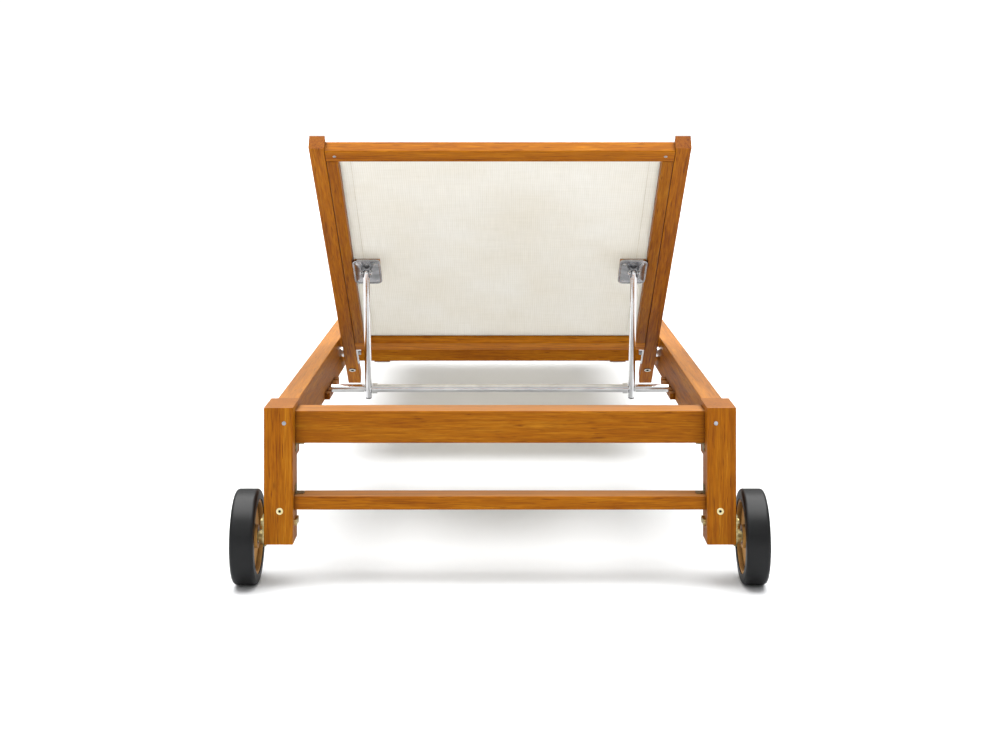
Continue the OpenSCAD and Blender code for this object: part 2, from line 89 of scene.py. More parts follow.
def add(tree, kind, settings=None, **links):
    """Adds a node of that kind. settings are its properties, and links go to its inputs by name:
    another node's output socket, or a plain value."""
    node = tree.nodes.new(kind)
    for name, value in (settings or {}).items():
        setattr(node, name, value)
    for name, value in links.items():
        key = int(name[1:]) if name[0] == "_" else name.replace("_", " ")
        socket = node.inputs[key]
        if isinstance(value, bpy.types.NodeSocket):
            tree.links.new(value, socket)
        else:
            socket.default_value = value
    return node


def ramp(tree, factor, stops):
    """A colour ramp over factor. stops are pairs of a place from 0 to 1 and an sRGB hex colour."""
    node = add(tree, "ShaderNodeValToRGB", _0=factor)
    elements = node.color_ramp.elements
    while len(elements) < len(stops):
        elements.new(0.5)
    for element, (place, colour) in zip(elements, stops):
        element.position, element.color = place, linear(colour)
    return node.outputs["Color"]


def noise(tree, spot, size_mm, **more):
    """Cloudy noise whose grain is about size_mm across."""
    return add(tree, "ShaderNodeTexNoise", Vector=spot, Scale=1000 / size_mm, **more).outputs["Fac"]


def blend(tree, share, under, over, way="MIX"):
    """Lays the colour over on the colour under by that share."""
    return add(tree, "ShaderNodeMix", {"data_type": "RGBA", "blend_type": way},
               _0=share, _6=under, _7=over).outputs[2]


def average(tree, share, first, second):
    """A plain number between first and second."""
    return add(tree, "ShaderNodeMix", {"data_type": "FLOAT"},
               _0=share, _2=first, _3=second).outputs[0]


def rescale(tree, value, **ends):
    """The value moved from one range of numbers to another."""
    return add(tree, "ShaderNodeMapRange", Value=value, **ends).outputs[0]


def reach(tree, direction, axis):
    """How far a direction or a place lies along an axis."""
    return add(tree, "ShaderNodeVectorMath", {"operation": "DOT_PRODUCT"}, _0=direction,
               _1=tuple(axis)).outputs["Value"]


def relief(tree, shader, height, strength, depth):
    """Fine relief in the surface, no deeper than depth metres. Returns its normal."""
    bump = add(tree, "ShaderNodeBump", Height=height, Strength=strength, Distance=depth)
    tree.links.new(bump.outputs[0], shader.inputs["Normal"])
    return bump.outputs[0]


def new_finish(name):
    """An empty material: its tree and its Principled shader."""
    material = bpy.data.materials.new(name)
    material.use_nodes = True
    return material, material.node_tree, material.node_tree.nodes["Principled BSDF"]


def give(material, *names):
    """Puts a finish on CAD nodes."""
    for name in names:
        nodes[name].data.materials.clear()
        nodes[name].data.materials.append(material)


print("helpers ready")

# %% [markdown]
# ## Oiled hardwood
# The boards are a red-brown tropical hardwood such as eucalyptus or teak, planed, with a coat of
# oil that leaves a satin sheen. Grain runs along each board. Four patterns make it: broad bands of
# warm and dark wood, narrow streaks, fine fibres about 1.2 mm apart, and short dark pores. The
# board's own coordinates are squeezed along the grain, which stretches every pattern that way. Each
# board has its own place in the pattern, so that no two match.
#
# Four things then happen to the wood. Its end grain is darker, because it drinks oil. The faces
# that look up are painted lighter, as painted light from above. The wood near each joint is
# painted darker, as painted shade where the boards meet. The last one is for the light only: the
# boards throw back a duller colour than they show, or the white cloth and the steel beside them
# would turn orange.

# %% Hardwood
BAND_MM = 34.0         # width of a broad band of colour
STREAK_MM = 3.4        # width of a narrow streak
FIBRE_MM = 1.2         # spacing of the fibres, drawn a little coarse so that it shows
PORE_MM = 1.6          # width of a pore, drawn a little coarse so that it shows
GRAIN_STRETCH = 22.0   # how much longer every pattern is along the grain than across it
STREAK_SHARE = 0.55    # how much of the figure is streaks, the rest being bands
PAINTED_TOP_LIGHT = 0.2       # painted light: how far upward faces are painted lighter, towards tan
JOINT_SHADE = 0.008    # metres from a joint within which painted shade darkens the wood
END_GRAIN = 0.35       # how much darker the ends of the fibres are
WOOD_SHEEN = (0.36, 0.54)       # roughness of the oiled surface, from fibre to fibre
BOARD_STEP = (3.71, 1.37, 2.13)   # how far each board's place in the pattern moves on
# The tan of the painted top light, the colour of oiled end grain, and the duller colour of bounced
# light.
TOP_LIGHT_TAN, OILED_END, BOUNCE = "#E2B988", "#8A5A3A", "#8C8074"
# The pale tan of the wheel discs: unoiled wood, made lighter still as painted light.
UNOILED_AND_LIT_TAN = "#F2B768"


def grain_space(tree, grain, number):
    """Coordinates that run along the grain, at the board's own place in the pattern."""
    spot = add(tree, "ShaderNodeTexCoord").outputs["Object"]
    turn = Vector((1, 0, 0)).rotation_difference(Vector(grain)).inverted().to_euler()
    turned = add(tree, "ShaderNodeMapping", {"vector_type": "POINT"}, Vector=spot, Rotation=turn)
    return add(tree, "ShaderNodeMapping", {"vector_type": "POINT"}, Vector=turned.outputs[0],
               Location=tuple(number * step for step in BOARD_STEP),
               Scale=(1 / GRAIN_STRETCH, 1.0, 1.0)).outputs[0]


def weathered(tree, grain, colour):
    """The colour with darker oiled end grain, painted light on the faces that look up,
    painted shade at the joints, and a duller colour for the light it throws back.
    """
    normal = add(tree, "ShaderNodeNewGeometry").outputs["Normal"]
    upward = add(tree, "ShaderNodeSeparateXYZ", _0=normal).outputs[2]
    # Painted light: the faces that look up are painted lighter, as if lit from above.
    painted_top_light = rescale(tree, upward, From_Min=0.55, From_Max=0.95, To_Max=PAINTED_TOP_LIGHT)
    colour = blend(tree, painted_top_light, colour, linear(TOP_LIGHT_TAN))
    facing = reach(tree, normal, grain)
    ends = add(tree, "ShaderNodeMath", {"operation": "ABSOLUTE"}, _0=facing).outputs[0]
    end_grain = rescale(tree, ends, From_Min=0.8, From_Max=1.0, To_Max=END_GRAIN)
    colour = blend(tree, end_grain, colour, linear(OILED_END), "MULTIPLY")
    # Painted shade: the wood is painted darker near joints and in gaps, where shade falls.
    open_air = add(tree, "ShaderNodeAmbientOcclusion", {"samples": 4},
                   Distance=JOINT_SHADE).outputs["AO"]
    joint = ramp(tree, open_air, [(0.25, "#5A3A20"), (0.85, "#FFFFFF")])
    colour = blend(tree, 1.0, colour, joint, "MULTIPLY")
    bounced = add(tree, "ShaderNodeLightPath").outputs["Is Diffuse Ray"]
    return blend(tree, bounced, colour, linear(BOUNCE))


def hardwood(name, grain, number, tone=1.0, pale=0.0):
    """Oiled hardwood for one board. grain is the unit vector that the fibres follow, number sets
    the board's place in the pattern, tone makes it a little lighter or darker, at random and as
    painted light and shade, and pale is how much of its colour is a light tan: unoiled wood,
    raised further as painted light on the wheel discs."""
    material, tree, shader = new_finish(name)
    placed = grain_space(tree, grain, number)
    bands = noise(tree, placed, BAND_MM, Detail=5.0, Roughness=0.55, Distortion=0.9)
    streaks = noise(tree, placed, STREAK_MM, Detail=4.0, Roughness=0.72, Distortion=0.4)
    fibres = noise(tree, placed, FIBRE_MM, Detail=2.0, Roughness=0.6)
    pores = noise(tree, placed, PORE_MM, Detail=1.0, Distortion=0.3)

    # The figure: from dark late wood to warm early wood.
    colour = ramp(tree, average(tree, STREAK_SHARE, bands, streaks),
                  [(0.35, "#7E3E00"), (0.46, "#A75E02"), (0.55, "#B46B05"), (0.67, "#CB841C")])
    # Fibres: fine pale and grey lines. Pores: short dark flecks.
    fibre_tint = ramp(tree, fibres, [(0.3, "#CFC8C0"), (0.6, "#FFFFFF")])
    colour = blend(tree, 0.75, colour, fibre_tint, "MULTIPLY")
    pore_tint = ramp(tree, pores, [(0.27, "#7A4A20"), (0.34, "#FFFFFF")])
    colour = blend(tree, 0.7, colour, pore_tint, "MULTIPLY")
    colour = add(tree, "ShaderNodeHueSaturation", Color=colour, Value=tone).outputs[0]
    colour = blend(tree, pale, colour, linear(UNOILED_AND_LIT_TAN))
    tree.links.new(weathered(tree, grain, colour), shader.inputs["Base Color"])

    # The sheen changes from fibre to fibre, and the open grain can be felt with a nail.
    sheen = rescale(tree, fibres, To_Min=WOOD_SHEEN[0], To_Max=WOOD_SHEEN[1])
    tree.links.new(sheen, shader.inputs["Roughness"])
    relief(tree, shader, average(tree, 0.35, fibres, pores), 0.25, 0.00025)
    shader.inputs["Specular IOR Level"].default_value = 0.13
    return material


print("hardwood ready")

# %% [markdown]
# ## Which way each board was sawn
# A board is always sawn along the tree, so its grain follows its length: across for the cross
# rails, along for the side rails, upright for the posts and legs, and up the slope for the
# backrest's stiles. A joiner picks boards that nearly match, and no more than that. Some boards
# are also made lighter or darker as painted light and shade, for how the light falls on them. The
# wheel discs are turned from paler wood that was left unoiled, and are painted paler still, as
# painted light on their shaded faces.

# %% Boards
BACK_ANGLE = math.radians(35)
UP_BACK = Vector((0, -math.cos(BACK_ANGLE), math.sin(BACK_ANGLE)))
ACROSS, ALONG, UPRIGHT = Vector((1, 0, 0)), Vector((0, 1, 0)), Vector((0, 0, 1))
BOARDS = [
    (ACROSS, ["head_rail", "head_stretcher", "seat_head_rail", "seat_middle_rail", "foot_rail",
              "back_top_rail", "back_bottom_rail"]),
    (ALONG, ["side_rail_left", "side_rail_right", "seat_batten_left", "seat_batten_right",
            "rack_left", "rack_right"]),
    (UPRIGHT, ["head_post_left", "head_post_right", "foot_leg_left", "foot_leg_right",
               "wheel_disc_left", "wheel_disc_right"]),
    (UP_BACK, ["stile_left", "stile_right", "back_batten_left", "back_batten_right",
               "bracket_block_left", "bracket_block_right"]),
]
TONES = [1.0, 0.96, 1.04, 0.98, 1.02]      # boards differ a little
# Painted light: the discs' share of pale tan is raised for the shade their faces sit in.
DISC_PALE = 0.8
# Painted light and shade: these boards are made lighter or darker for how the light falls on them.
PAINTED_LIGHT_BY_BOARD = {"seat_batten": 0.92, "back_batten": 0.92, "seat_head": 0.94, "back_bottom": 1.35,
          "back_top": 1.15, "stile": 1.08}
board_number = 0
for direction, names in BOARDS:
    for name in names:
        board_number += 1
        tone = TONES[board_number % len(TONES)] * PAINTED_LIGHT_BY_BOARD.get(name.rsplit("_", 1)[0], 1.0)
        pale = DISC_PALE if name.startswith("wheel_disc") else 0.0
        give(hardwood("oiled_hardwood_" + name, direction, board_number, tone, pale), name)
print(board_number, "boards in oiled hardwood")

# %% [markdown]
# ## Metals
# The prop is polished stainless steel: almost a mirror, with hairlines left by the polishing belt.
# The brackets are pressed from a greyer sheet. The axle plates, their bolts and the wheel bushes
# are zinc-plated with the pale yellow passivation that outdoor hardware has, softer and a little
# blotchy. A metal is a mirror first, so its finish is mostly a matter of roughness.

# %% Stainless and yellow zinc
HAIRLINE_SQUEEZE = 0.06    # hairlines are about 17 times longer than they are wide
# Painted shade for the key sockets of bolts.
SOCKET_PAINTED_SHADE = "#3A332A"


def metal(name, light, dark, rough, blotch_mm, hairline_mm, scratch, outward=None, socket_from=0.0):
    """A worked metal. light and dark are the ends of its colour, rough its mean roughness,
    blotch_mm the size of its cloudy patches, hairline_mm the spacing of its polishing lines and
    scratch how strongly they stand out. Where outward is given, the metal is painted dark below
    socket_from along it, as painted shade in the key socket of a bolt."""
    material, tree, shader = new_finish(name)
    spot = add(tree, "ShaderNodeTexCoord").outputs["Object"]
    cloud = noise(tree, spot, blotch_mm, Detail=4.0)
    lines = add(tree, "ShaderNodeMapping", Vector=spot, Scale=(HAIRLINE_SQUEEZE, 1.0, 1.0))
    hair = noise(tree, lines.outputs[0], hairline_mm, Detail=1.0)
    colour = ramp(tree, cloud, [(0.35, dark), (0.65, light)])
    if outward is not None:
        # Painted shade: what lies below the head's top is painted dark.
        deep = add(tree, "ShaderNodeMath", {"operation": "LESS_THAN"},
                   _0=reach(tree, spot, outward), _1=socket_from).outputs[0]
        colour = blend(tree, deep, colour, linear(SOCKET_PAINTED_SHADE))
    tree.links.new(colour, shader.inputs["Base Color"])
    shader.inputs["Metallic"].default_value = 1.0
    shine = rescale(tree, hair, To_Min=rough * 0.75, To_Max=rough * 1.25)
    tree.links.new(shine, shader.inputs["Roughness"])
    relief(tree, shader, hair, scratch, 0.0001)
    return material


stainless = metal("polished_stainless", "#F3F3F1", "#E0E0E0", 0.11, 30.0, 0.8, 0.12)
pressed_steel = metal("pressed_stainless", "#C4C5C7", "#97989B", 0.2, 18.0, 0.8, 0.15)
cast_steel = metal("satin_stainless", "#BFC0C2", "#A3A5A8", 0.34, 8.0, 0.6, 0.3)
yellow_zinc = metal("yellow_passivated_zinc", "#E9DCA8", "#CDBB7E", 0.3, 6.0, 0.7, 0.2)
give(pressed_steel, "prop_bracket_left", "prop_bracket_right")
give(stainless, "strut_left", "strut_right", "cross_bar", "bar_collars", "prop_pins",
     "pivot_spacers", "hinge_plate_left", "hinge_plate_right")
give(cast_steel, "frame_screws", "pivot_bolt_left", "pivot_bolt_right", "wheel_caps")
give(yellow_zinc, "axle_left", "axle_right", "axle_bolts",
     "axle_spacers", "wheel_bush_left", "wheel_bush_right")
give(metal("weathered_zinc", "#A89A76", "#6E6248", 0.42, 4.0, 0.6, 0.3), "corner_brackets")
print("metals done")

# %% [markdown]
# ## Socket-head bolts
# The bolts that hold the timber are tightened with a hexagon key. The socket is deep and lies in
# shade, so it is painted nearly black, as painted shade. The finish is told which way the head
# faces, and darkens whatever lies below it.

# %% Bolt heads
SOCKET_DEPTH = 0.0008      # metres below the top of a head at which the dark begins
LYING_SIDE = Vector((0, math.sin(BACK_ANGLE), math.cos(BACK_ANGLE)))
REAR_SIDE = -LYING_SIDE    # out of the backrest, away from whoever lies on it


def bolt_heads(name, node, outward, light, dark):
    """Bolt heads whose key sockets are painted dark inside, as painted shade."""
    top = max(outward.dot(v.co) for v in nodes[node].data.vertices)
    give(metal(name, light, dark, 0.26, 6.0, 0.7, 0.2, outward, top - SOCKET_DEPTH), node)


bolt_heads("yellow_zinc_socket_head", "post_bolts", -ALONG, "#EFE4B8", "#D8C88C")
bolt_heads("steel_socket_head", "tail_bolts", REAR_SIDE, "#E8E6DC", "#CFCBBC")
print("bolt heads done")

# %% [markdown]
# ## Rubber and plastic
# The tyres are solid moulded rubber, dark grey and satin, with a fine bloom. The struts' end caps
# are matt black polythene, which moulds with a faint orange peel.

# %% Rubber and caps
def moulded(name, dark, light, rough, bloom_mm, grain_mm, peel):
    """A moulded material with a cloudy bloom of that size and a fine surface grain. peel is how
    strongly the grain stands out."""
    material, tree, shader = new_finish(name)
    spot = add(tree, "ShaderNodeTexCoord").outputs["Object"]
    bloom = noise(tree, spot, bloom_mm, Detail=6.0, Roughness=0.6)
    grain = noise(tree, spot, grain_mm, Detail=2.0)
    colour = ramp(tree, bloom, [(0.35, dark), (0.7, light)])
    tree.links.new(colour, shader.inputs["Base Color"])
    shine = rescale(tree, bloom, To_Min=rough - 0.08, To_Max=rough + 0.1)
    tree.links.new(shine, shader.inputs["Roughness"])
    shader.inputs["Specular IOR Level"].default_value = 0.32
    relief(tree, shader, grain, peel, 0.0002)
    return material


give(moulded("moulded_rubber", "#0A0B0C", "#121314", 0.4, 22.0, 0.9, 0.2),
     "tyre_left", "tyre_right")
give(moulded("matt_polythene", "#1E1E1F", "#29292A", 0.6, 5.0, 0.5, 0.15), "strut_caps")
print("tyres and caps done")

# %% [markdown]
# ## The sling cloth
# Both slings are one layer of undyed outdoor canvas, about 1 mm thick. It is a plain weave, so two
# sets of threads cross, and here and there a thread swells into a slub. The pattern is measured on
# the cloth's own UV map, which is in real metres, so the weave follows the cloth and not the room.

# %% Canvas weave
THREAD_MM = 1.6        # thread spacing, drawn twice as coarse as the real one so that it shows
SLUB_MM = 3.0          # width of a slub, where a thread swells
SLUB_SQUEEZE = 0.06    # slubs are about 17 times longer than they are wide
CLOUD_MM = 111.1       # size of the faint clouds in undyed cloth
LIGHT_THROUGH = 0.55   # share of light that the thin canvas lets through
WAVE_BANDS = 20        # a wave texture has about 20 bands in a unit at scale 1


def canvas(name):
    """Undyed woven outdoor canvas: crossing threads, slubs, and a slight cloudiness."""
    material, tree, shader = new_finish(name)
    cloth_uv = add(tree, "ShaderNodeUVMap", {"uv_map": "cloth"}).outputs[0]
    turns = 1000 / THREAD_MM / WAVE_BANDS * math.pi
    weft, warp = (add(tree, "ShaderNodeTexWave", {"bands_direction": way}, Vector=cloth_uv,
                      Scale=turns, Distortion=0.4, Detail=1.0).outputs["Fac"] for way in "XY")
    threads = add(tree, "ShaderNodeMath", {"operation": "MULTIPLY"}, _0=weft, _1=warp).outputs[0]
    thick_warp, thick_weft = (
        noise(tree, add(tree, "ShaderNodeMapping", Vector=cloth_uv, Scale=squeeze).outputs[0],
              SLUB_MM, Detail=3.0)
        for squeeze in ((1.0, SLUB_SQUEEZE, 1.0), (SLUB_SQUEEZE, 1.0, 1.0)))
    slubs = average(tree, 0.5, thick_warp, thick_weft)
    cloud = noise(tree, cloth_uv, CLOUD_MM, Detail=3.0)

    # Slubs are slightly lighter, the hollows between threads are painted darker as painted
    #     shade, and the whole is mottled.
    colour = ramp(tree, slubs, [(0.34, "#EBEAE6"), (0.5, "#EFEEEB"), (0.66, "#F3F2EF")])
    hollows = ramp(tree, threads, [(0.0, "#F6F4EF"), (0.5, "#FFFFFF")])
    colour = blend(tree, 0.8, colour, hollows, "MULTIPLY")
    mottle = ramp(tree, cloud, [(0.3, "#FAF8F4"), (0.7, "#FFFFFF")])
    colour = blend(tree, 0.8, colour, mottle, "MULTIPLY")
    tree.links.new(colour, shader.inputs["Base Color"])
    shader.inputs["Roughness"].default_value = 0.88
    shader.inputs["Sheen Weight"].default_value = 0.25
    shader.inputs["Sheen Roughness"].default_value = 0.5
    height = add(tree, "ShaderNodeMath", {"operation": "ADD"}, _0=threads, _1=slubs).outputs[0]
    normal = relief(tree, shader, height, 0.3, 0.0004)

    # Thin cloth glows from behind, so part of the light goes straight through.
    glow = add(tree, "ShaderNodeBsdfTranslucent", Color=colour, Normal=normal)
    thin = add(tree, "ShaderNodeMixShader", _0=LIGHT_THROUGH, _1=shader.outputs[0],
               _2=glow.outputs[0])
    tree.links.new(thin.outputs[0], tree.nodes["Material Output"].inputs["Surface"])
    return material


canvas_cloth = canvas("undyed_woven_canvas")
print("canvas ready")

# %% [markdown]
# ## The two slings
# Each sling is pulled tight between two battens. A tight sling still dips a few millimetres in the
# middle, and its edges are turned over into a 20 mm hem, which shows as a slight step. The sheet is
# built in code as a fine grid, because its shape is one short formula, and a modifier gives it its
# thickness.

# %% Sling sheets
CLOTH_MM = 1.0         # thickness of one layer
HEM_WIDE = 0.020       # width of the turned hem
HEM_STEP = 0.0005      # how far the hem steps down from the sheet
GRID = 0.005           # size of one cell of the grid


class Sling:
    """One stretched sling. corner is its low corner, along the unit direction of its length, wide
    and long its flat size, and dip how far its middle sags, away from the lying side."""

    def __init__(self, corner, along, wide, long, dip):
        self.corner, self.along, self.wide, self.long, self.dip = corner, along, wide, long, dip
        self.up = ACROSS.cross(along)

    def point(self, u, v, lift=0.0):
        """The place on the cloth at u across and v along, both from 0 to 1."""
        sag = self.dip * (1 - (2 * u - 1) ** 2) * (1 - (2 * v - 1) ** 4)
        from_edge = min(min(u, 1 - u) * self.wide, min(v, 1 - v) * self.long)
        hem = HEM_STEP if from_edge < HEM_WIDE else 0.0
        return (self.corner + ACROSS * (u * self.wide) + self.along * (v * self.long)
                + self.up * (lift - sag - hem))

    def sheet(self, name):
        """The cloth as a fine grid, with a UV map in metres."""
        columns, rows = round(self.wide / GRID), round(self.long / GRID)
        verts = [self.point(i / columns, j / rows)
                 for j in range(rows + 1) for i in range(columns + 1)]
        uvs = [(i / columns * self.wide, j / rows * self.long)
               for j in range(rows + 1) for i in range(columns + 1)]
        faces = [(k, k + 1, k + columns + 2, k + columns + 1)
                 for j in range(rows)
                 for k in range(j * (columns + 1), j * (columns + 1) + columns)]
        mesh = bpy.data.meshes.new(name)
        mesh.from_pydata(verts, [], faces)
        layer = mesh.uv_layers.new(name="cloth")
        for loop in mesh.loops:
            layer.data[loop.index].uv = uvs[loop.vertex_index]
        mesh.materials.append(canvas_cloth)
        mesh.shade_smooth()
        cloth = bpy.data.objects.new(name, mesh)
        scene.collection.objects.link(cloth)
        thick = cloth.modifiers.new("thickness", "SOLIDIFY")
        thick.thickness, thick.offset = CLOTH_MM / 1000, 0.0
        print(f"{name}: {self.wide:.3f} by {self.long:.3f} m, dips {self.dip * 1000:.0f} mm")
        return cloth


seat_low, seat_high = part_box("seat_sling")
seat = Sling(Vector((seat_low.x, seat_low.y, (seat_low.z + seat_high.z) / 2)), ALONG,
             seat_high.x - seat_low.x, seat_high.y - seat_low.y, dip=0.007)
seat_cloth = seat.sheet("seat_cloth")

back_low, back_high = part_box("back_sling")
SLING_T = seat_high.z - seat_low.z
back_long = (back_high.y - back_low.y - SLING_T * math.sin(BACK_ANGLE)) / math.cos(BACK_ANGLE)
lower_edge = Vector((back_low.x, back_high.y, back_low.z)) + Vector(
    (0, -SLING_T / 2 * math.sin(BACK_ANGLE), SLING_T / 2 * math.cos(BACK_ANGLE)))
back = Sling(lower_edge, UP_BACK, back_high.x - back_low.x, back_long, dip=0.004)
back_cloth = back.sheet("back_cloth")

# %% [markdown]
# ## Repeating one shape
# Screws and stitches repeat, so Geometry Nodes set one of them on every point of a small cloud of
# points. One master shape then serves them all, and a change to it changes every copy. Each tree
# ends with real geometry and a material, and the result is turned into a plain mesh.

# %% Repeat one shape on points
def repeat_tree(name, material):
    """A tree that sets a copy of its Shape object on every vertex, turned by its Turn input."""
    tree = bpy.data.node_groups.new(name, "GeometryNodeTree")
    side = tree.interface
    side.new_socket("Points", in_out="INPUT", socket_type="NodeSocketGeometry")
    shape_in = side.new_socket("Shape", in_out="INPUT", socket_type="NodeSocketObject")
    turn_in = side.new_socket("Turn", in_out="INPUT", socket_type="NodeSocketVector")
    side.new_socket("Result", in_out="OUTPUT", socket_type="NodeSocketGeometry")
    start = tree.nodes.new("NodeGroupInput")
    finish = tree.nodes.new("NodeGroupOutput")
    shape = add(tree, "GeometryNodeObjectInfo", Object=start.outputs["Shape"])
    copies = add(tree, "GeometryNodeInstanceOnPoints", Points=start.outputs["Points"],
                 Instance=shape.outputs["Geometry"], Rotation=start.outputs["Turn"])
    real = add(tree, "GeometryNodeRealizeInstances", Geometry=copies.outputs[0])
    coated = add(tree, "GeometryNodeSetMaterial", Geometry=real.outputs[0], Material=material)
    tree.links.new(coated.outputs[0], finish.inputs[0])
    return tree, shape_in.identifier, turn_in.identifier


def repeat(name, points, shape, turn, material, body):
    """Copies of shape at points, as one plain mesh that rides on body."""
    tree, shape_id, turn_id = repeat_tree(name + "_tree", material)
    cloud = bpy.data.meshes.new(name + "_points")
    cloud.from_pydata([tuple(p) for p in points], [], [])
    carrier = bpy.data.objects.new(name + "_carrier", cloud)
    scene.collection.objects.link(carrier)
    modifier = carrier.modifiers.new("repeat", "NODES")
    modifier.node_group = tree
    modifier[shape_id] = shape
    modifier[turn_id] = tuple(turn)
    depsgraph = bpy.context.evaluated_depsgraph_get()
    mesh = bpy.data.meshes.new_from_object(carrier.evaluated_get(depsgraph))
    bpy.data.objects.remove(carrier)
    piece = bpy.data.objects.new(name, mesh)
    scene.collection.objects.link(piece)
    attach(piece, body)
    print(f"{name}: {len(points)} copies, {len(mesh.polygons)} faces")
    return piece


def loose_shape(name, verts, faces):
    """A small object used only as the shape to copy."""
    mesh = bpy.data.meshes.new(name)
    mesh.from_pydata(verts, [], faces)
    for polygon in mesh.polygons:
        polygon.use_smooth = True
    return bpy.data.objects.new(name, mesh)


print("repeater ready")

# %% [markdown]
# ## Screws
# Each bracket is held by four screws and the top rail by two smaller ones. Their heads are low
# domes with a sunk cross, turned as a stack of rings from the middle outwards. Two of the rings
# reach further out along the four arms of the cross, which cuts the recess. Each bracket screw
# sits where its shank is, found as the middle of each separate solid of the CAD node.

# %% Screw heads
SPOKES = 32
ARM_SPOKES = (0, 1, 7)     # in every eight spokes, those that lie in an arm of the cross
# Each ring: its share of the radius, its share of the rise, and how far its arms reach out.
SCREW_RINGS = [(0.18, -0.35, 1.9), (0.3, 0.98, 1.6), (0.62, 0.8, 1.0), (0.88, 0.42, 1.0),
               (1.0, 0.0, 1.0), (1.0, -0.6, 1.0)]
RECESS = -0.35             # the floor of the cross, as a share of the rise
SHARED_SPOT = 5            # decimals of a metre to which two corners count as one
SCREW_R, SCREW_RISE = 0.0034, 0.0014
RAIL_SCREW_R, RAIL_SCREW_RISE = 0.0026, 0.0008
SCREW_NEAR = 0.012         # every corner of one screw lies this near to its middle
SCREW_SUNK = 0.0011        # how far the head's base lies below the CAD head's top
RAIL_SCREW_IN = 0.013      # from a stile's inner face to the small screw in the top rail


def screw_shape(radius, rise):
    """A low domed screw head on the XY plane with a sunk cross in the middle."""
    verts, faces = [(0, 0, RECESS * rise)], []
    for share, height, arm in SCREW_RINGS:
        for k in range(SPOKES):
            angle = 2 * math.pi * k / SPOKES
            r = radius * share * (arm if k % 8 in ARM_SPOKES else 1.0)
            verts.append((r * math.cos(angle), r * math.sin(angle), height * rise))
    for k in range(SPOKES):
        faces.append((0, 1 + k, 1 + (k + 1) % SPOKES))
    last = len(SCREW_RINGS) - 1
    for ring in range(last):
        for k in range(SPOKES):
            a, b = 1 + ring * SPOKES + k, 1 + ring * SPOKES + (k + 1) % SPOKES
            faces.append((a, a + SPOKES, b + SPOKES, b))
    faces.append(tuple(1 + last * SPOKES + k for k in reversed(range(SPOKES))))
    return loose_shape("screw_shape", verts, faces)


def solids_of(name):
    """The middle of each separate solid in a CAD node."""
    mesh = nodes[name].data
    parent = list(range(len(mesh.vertices)))

    def root(i):
        while parent[i] != i:
            parent[i] = parent[parent[i]]
            i = parent[i]
        return i

    key = {}
    for v in mesh.vertices:
        spot = tuple(round(c, SHARED_SPOT) for c in v.co)
        parent[v.index] = root(key.setdefault(spot, v.index))
    for edge in mesh.edges:
        parent[root(edge.vertices[0])] = root(edge.vertices[1])
    groups = {}
    for v in mesh.vertices:
        groups.setdefault(root(v.index), []).append(v.co.copy())
    return [(Vector(map(min, zip(*g))) + Vector(map(max, zip(*g)))) / 2 for g in groups.values()]


rear_turn = UPRIGHT.rotation_difference(REAR_SIDE).to_euler()
screw_points = []
for middle in solids_of("back_screws"):
    near = [v.co for v in nodes["back_screws"].data.vertices
            if (v.co - middle).length < SCREW_NEAR]
    top = max(REAR_SIDE.dot(c - middle) for c in near)
    screw_points.append(middle + REAR_SIDE * (top - SCREW_SUNK))
screws = repeat("bracket_screws", screw_points, screw_shape(SCREW_R, SCREW_RISE), rear_turn,
                stainless, "backrest")
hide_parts("back_screws")

rail_low, rail_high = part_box("back_top_rail")
rail_middle = (rail_low + rail_high) / 2
rail_face = max(REAR_SIDE.dot(v.co - rail_middle) for v in nodes["back_top_rail"].data.vertices)
rail_points = [rail_middle + ACROSS * x + REAR_SIDE * rail_face
               for x in (rail_low.x + RAIL_SCREW_IN, rail_high.x - RAIL_SCREW_IN)]
repeat("rail_screws", rail_points, screw_shape(RAIL_SCREW_R, RAIL_SCREW_RISE), rear_turn,
       cast_steel, "backrest")

# %% [markdown]
# ## Stitches
# The hems are sewn with cream polyester thread, one row down each side, in stitches about 3 mm
# long. A lockstitch looks the same on both faces, so the row is laid on both. Each stitch is a
# short round thread that dives into the cloth at its ends and lies a little sunk into it.

# %% Sew the hems
STITCH_PITCH = 0.0042
STITCH_LONG = 0.0031
STITCH_FROM_FOLD = 0.004   # from the hem's inner edge to the row of stitches
STITCHES_SPARED = 6        # places left unsewn, half of them at each end of a row
THREAD_R = 0.00034
THREAD_SIDES = 6
THREAD_LIES = 0.4          # how high the thread's middle lies on the cloth, in thread radii
# Each ring: its place along the stitch, and its share of the thread's radius.
STITCH_RINGS = [(-0.5, 0.25), (-0.42, 0.8), (-0.2, 1.0), (0.2, 1.0), (0.42, 0.8), (0.5, 0.25)]


def stitch_shape():
    """A short thread that lies along Y with rounded ends."""
    sides, count = THREAD_SIDES, len(STITCH_RINGS)
    verts = [(THREAD_R * size * math.cos(2 * math.pi * k / sides), STITCH_LONG * place,
              THREAD_R * size * math.sin(2 * math.pi * k / sides))
             for place, size in STITCH_RINGS for k in range(sides)]
    faces = [(a * sides + k, (a + 1) * sides + k,
              (a + 1) * sides + (k + 1) % sides, a * sides + (k + 1) % sides)
             for a in range(count - 1) for k in range(sides)]
    faces += [tuple(range(sides)), tuple(reversed(range((count - 1) * sides, count * sides)))]
    return loose_shape("stitch_shape", verts, faces)


